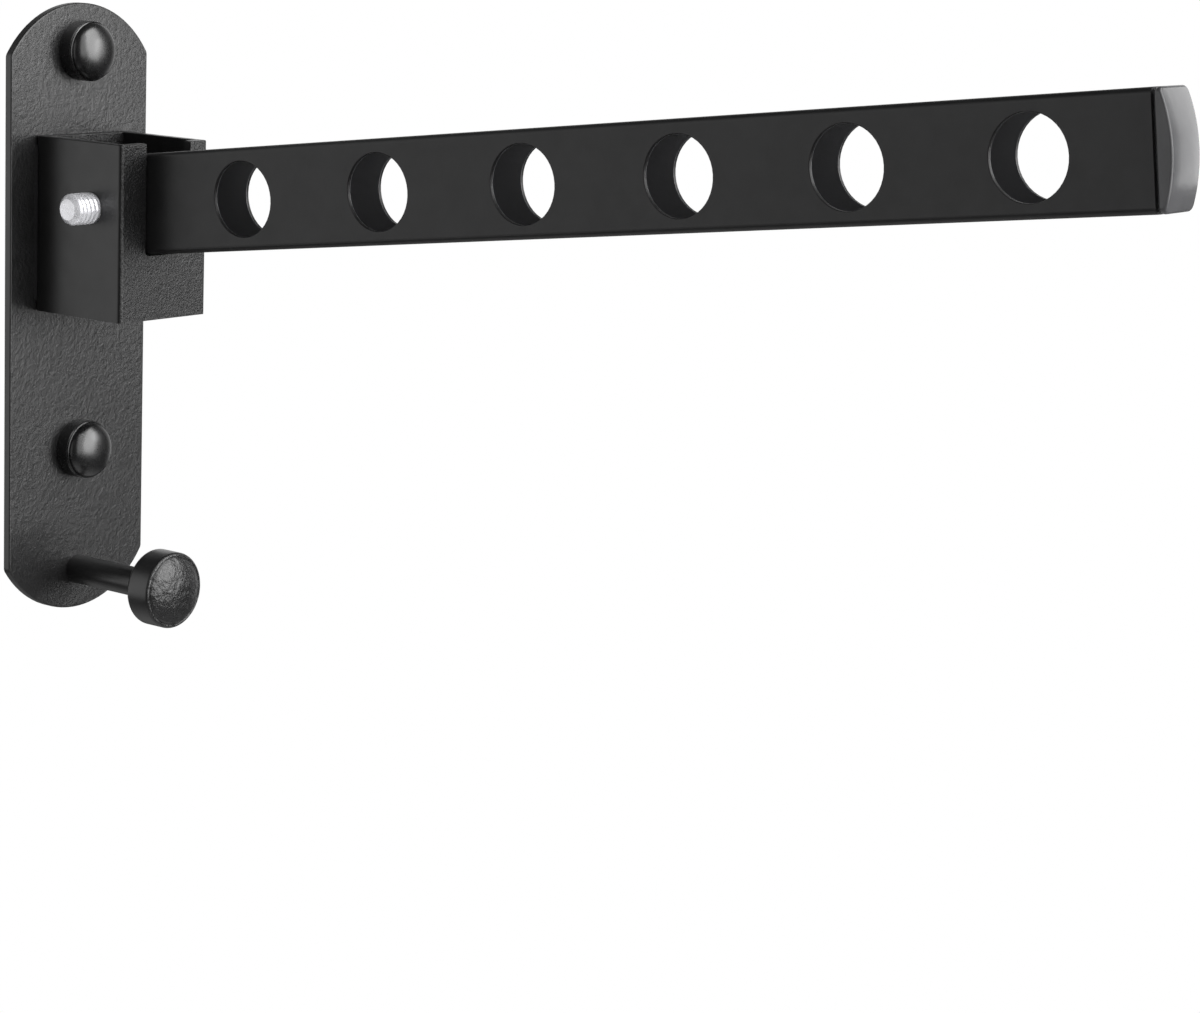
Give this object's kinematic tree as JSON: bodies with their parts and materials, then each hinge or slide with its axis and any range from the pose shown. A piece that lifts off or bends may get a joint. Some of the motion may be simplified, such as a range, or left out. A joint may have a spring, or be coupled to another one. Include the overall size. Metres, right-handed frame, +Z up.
{
  "type": "folding wall clothing rack",
  "caption": "Folding clothing rack: a flat tubular arm with round hanger holes hinges up against a narrow steel wall plate, which also carries a round-headed peg.",
  "frame": {"origin": "on the wall plane, midway between the plate's two fixing holes", "axes": "+Y into the wall, with the arm standing out along -Y; +Z up along the plate; X level across the plate, +X on the side of the pivot screw's head"},
  "size_m": [0.045, 0.2995, 0.151],
  "materials": {
    "plate_coat": "fine textured black powder coat",
    "tube_coat": "black powder coat, coarser grain on the front",
    "arm_coat": "smooth satin black powder coat",
    "peg_coat": "textured black powder coat",
    "cap_plastic": "gloss",
    "plug_plastic": "semi-gloss dark grey",
    "bright_steel": "bright zinc plated",
    "bare_steel": "plain turned",
    "nylon": "matt off-white"
  },
  "bodies": {
    "wall_side": {"wall_plate": "plate_coat", "pivot_bracket": "tube_coat", "weld_bead_left": "tube_coat", "weld_bead_right": "tube_coat", "pivot_screw": "bright_steel", "pivot_nut": "bare_steel", "nylon_washer": "nylon", "nylon_spacer": "nylon", "head_washer": "bright_steel", "spring_washer": "bright_steel", "peg_post": "peg_coat", "peg_head": "peg_coat", "screw_cap_base_upper": "cap_plastic", "screw_cap_dome_upper": "cap_plastic", "screw_cap_base_lower": "cap_plastic", "screw_cap_dome_lower": "cap_plastic"},
    "arm": {"arm_tube": "arm_coat", "arm_end_plug": "plug_plastic", "pivot_sleeve": "bare_steel"}
  },
  "joints": [
    {"name": "arm_fold", "type": "hinge", "parent": "wall_side", "child": "arm", "pos_m": [0, -0.0205, 0.0132], "axis": [-1, 0, 0], "range_deg": [0, 80]}
  ]
}
